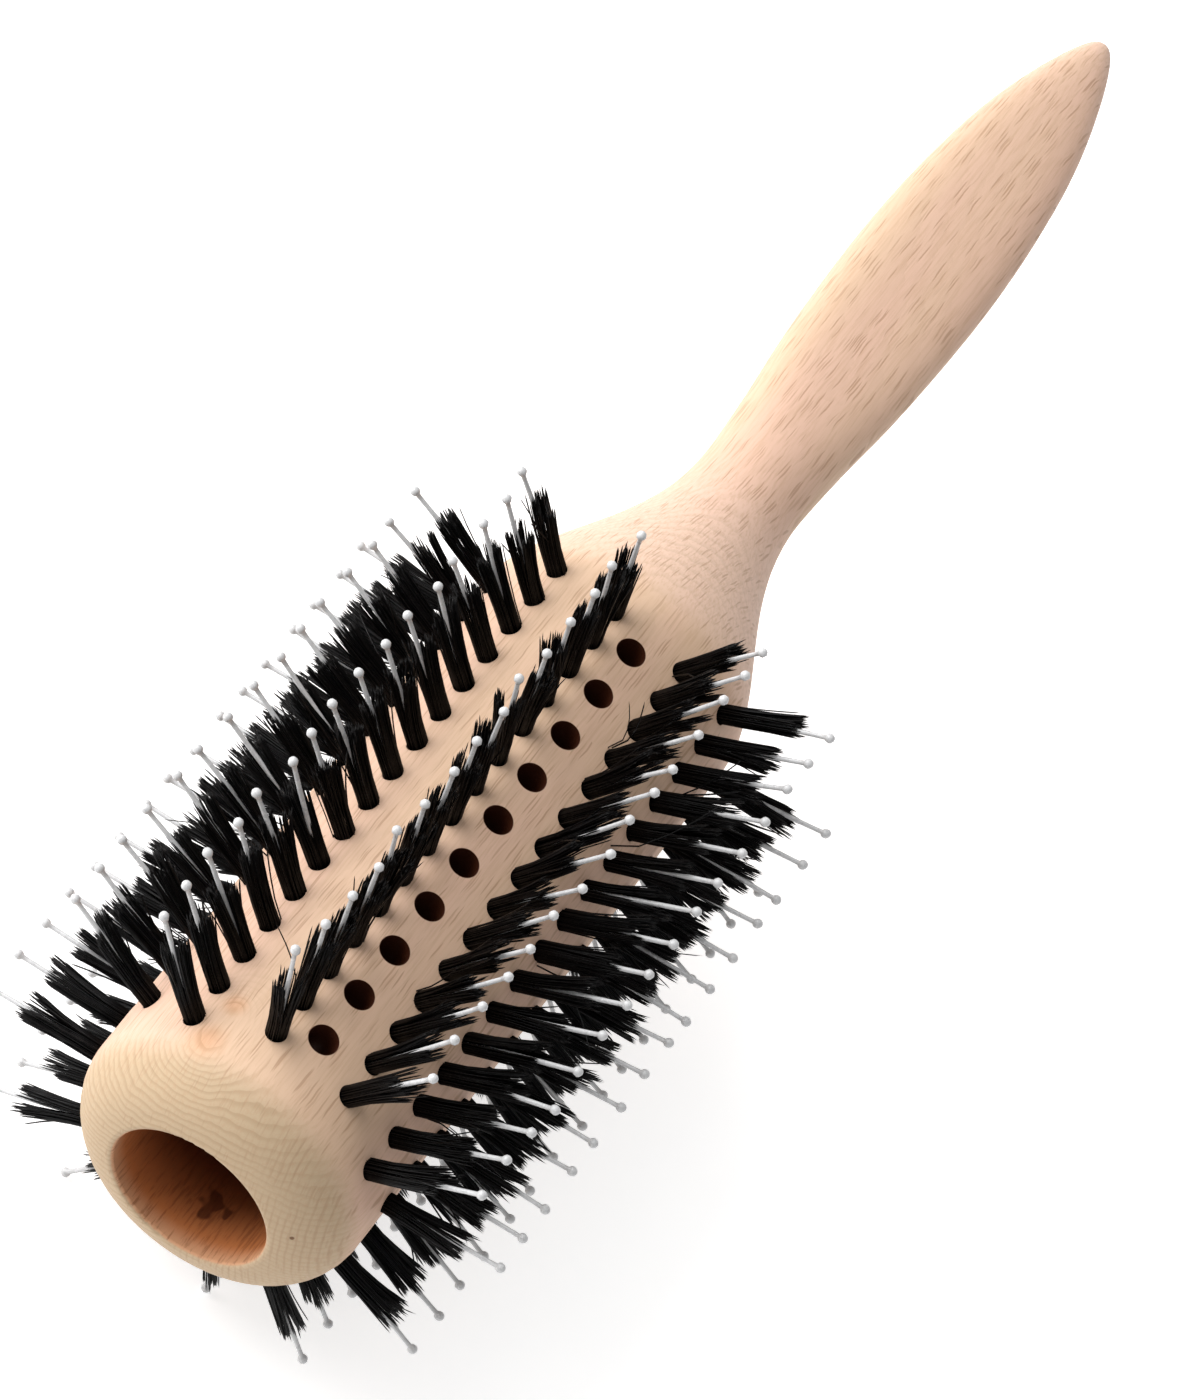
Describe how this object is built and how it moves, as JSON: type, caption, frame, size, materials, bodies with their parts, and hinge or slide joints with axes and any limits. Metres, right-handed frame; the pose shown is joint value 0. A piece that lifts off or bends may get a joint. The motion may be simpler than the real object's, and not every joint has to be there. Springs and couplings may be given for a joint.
{
  "type": "round barrel hair brush",
  "caption": "Round blow-drying brush: hollow vented wooden barrel with rows of black bristle tufts around ball-tipped nylon pins, and a flat leaf-shaped wooden handle.",
  "frame": {"origin": "centre of the bore's mouth at the front of the barrel", "axes": "+X along the brush from the open nose to the handle tip, +Z square to the broad face of the handle, on the side of the first row of vents"},
  "size_m": [0.243, 0.0704, 0.0708],
  "materials": {
    "beech": "bare, fine sanded",
    "black_bristle": "natural black hair with a slight sheen",
    "clear_nylon": "translucent, smooth",
    "anchor_wire": "plain wire"
  },
  "bodies": {
    "root": {"wooden_body": "beech", "bristle_tufts_row_01": "black_bristle", "nylon_pins_row_01": "clear_nylon", "anchor_wires_row_01": "anchor_wire", "bristle_tufts_row_02": "black_bristle", "nylon_pins_row_02": "clear_nylon", "anchor_wires_row_02": "anchor_wire", "bristle_tufts_row_03": "black_bristle", "nylon_pins_row_03": "clear_nylon", "anchor_wires_row_03": "anchor_wire", "bristle_tufts_row_04": "black_bristle", "nylon_pins_row_04": "clear_nylon", "anchor_wires_row_04": "anchor_wire", "bristle_tufts_row_05": "black_bristle", "nylon_pins_row_05": "clear_nylon", "anchor_wires_row_05": "anchor_wire", "bristle_tufts_row_06": "black_bristle", "nylon_pins_row_06": "clear_nylon", "anchor_wires_row_06": "anchor_wire", "bristle_tufts_row_07": "black_bristle", "nylon_pins_row_07": "clear_nylon", "anchor_wires_row_07": "anchor_wire", "bristle_tufts_row_08": "black_bristle", "nylon_pins_row_08": "clear_nylon", "anchor_wires_row_08": "anchor_wire", "bristle_tufts_row_09": "black_bristle", "nylon_pins_row_09": "clear_nylon", "anchor_wires_row_09": "anchor_wire", "bristle_tufts_row_10": "black_bristle", "nylon_pins_row_10": "clear_nylon", "anchor_wires_row_10": "anchor_wire", "bristle_tufts_row_11": "black_bristle", "nylon_pins_row_11": "clear_nylon", "anchor_wires_row_11": "anchor_wire", "bristle_tufts_row_12": "black_bristle", "nylon_pins_row_12": "clear_nylon", "anchor_wires_row_12": "anchor_wire"}
  },
  "joints": []
}
